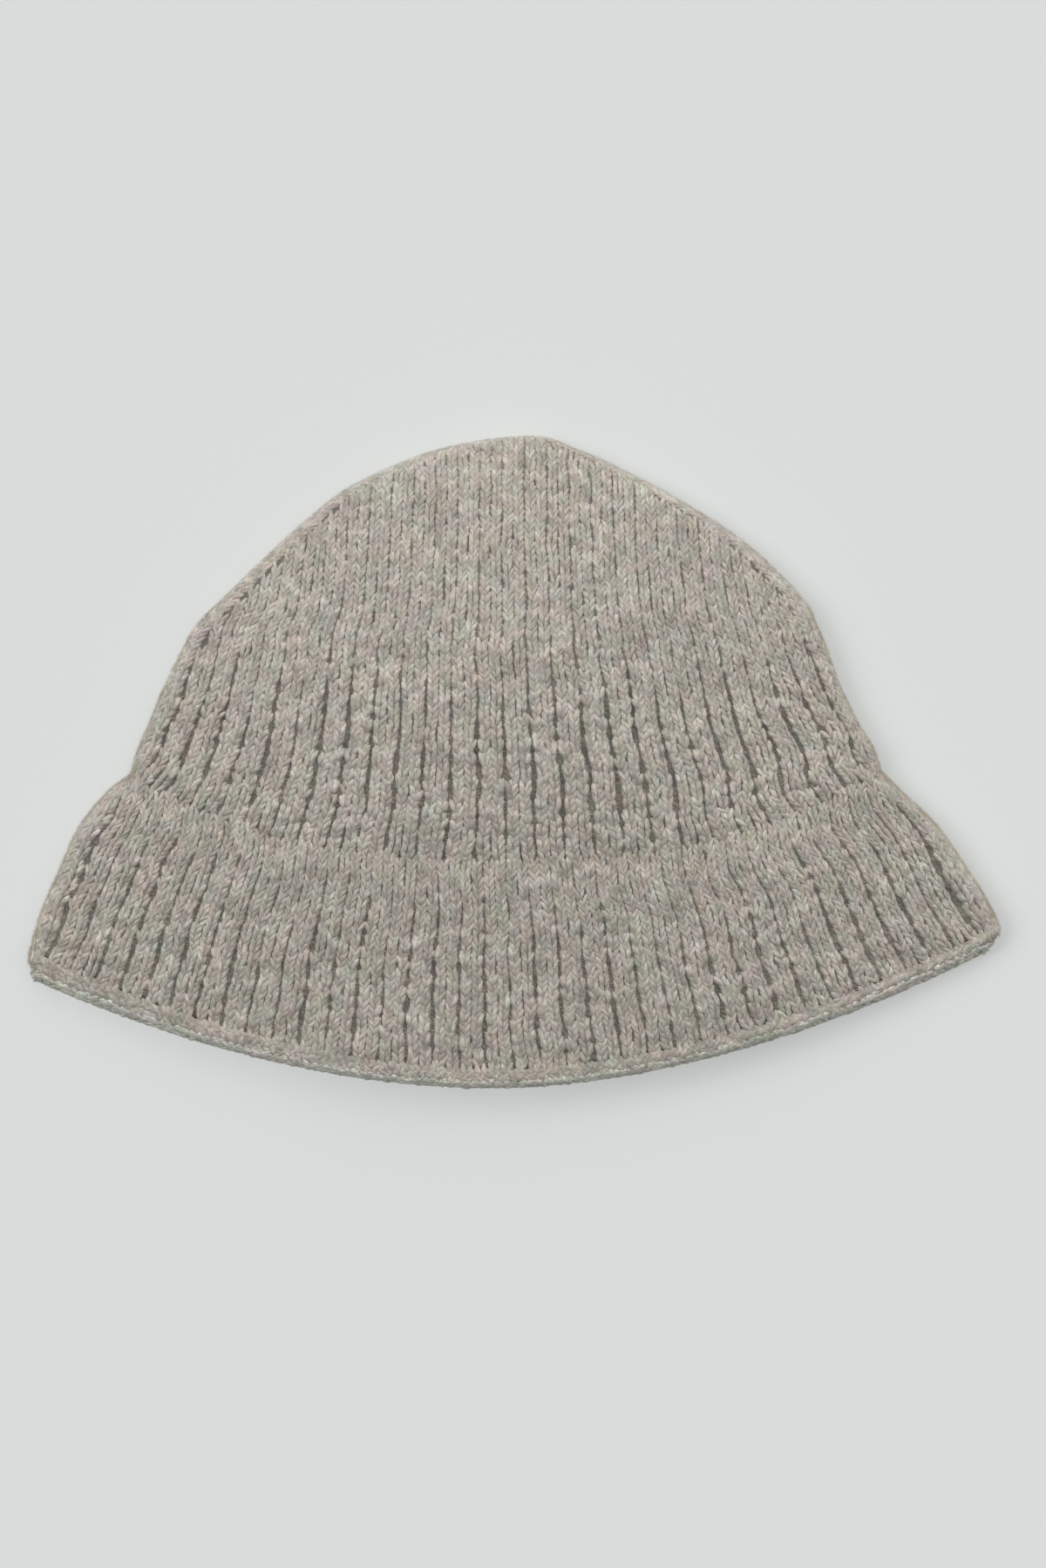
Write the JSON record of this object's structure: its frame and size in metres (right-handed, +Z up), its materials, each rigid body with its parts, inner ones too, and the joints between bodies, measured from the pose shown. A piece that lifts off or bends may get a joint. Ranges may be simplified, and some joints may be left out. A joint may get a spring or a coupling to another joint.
{
  "type": "rib-knit bucket hat",
  "caption": "Rib-knit wool bucket hat lying flat: soft domed crown, flared ribbed brim linked on below it, smooth bound hem, hollow and open where the head goes in.",
  "frame": {"origin": "middle of the space that the hat fills, seen from above, on the surface that it lies on", "axes": "+X along the brim to the right of the front layer, +Y from the hem to the top of the crown, +Z up through the two layers"},
  "size_m": [0.3394, 0.2286, 0.0305],
  "materials": {
    "crown_knit": "brushed melange wool rib, taupe grey",
    "brim_knit": "brushed melange wool rib, taupe grey",
    "hem_knit": "melange wool bind-off, taupe grey"
  },
  "bodies": {
    "root": {"crown": "crown_knit", "brim": "brim_knit", "hem_edge": "hem_knit"}
  },
  "joints": []
}
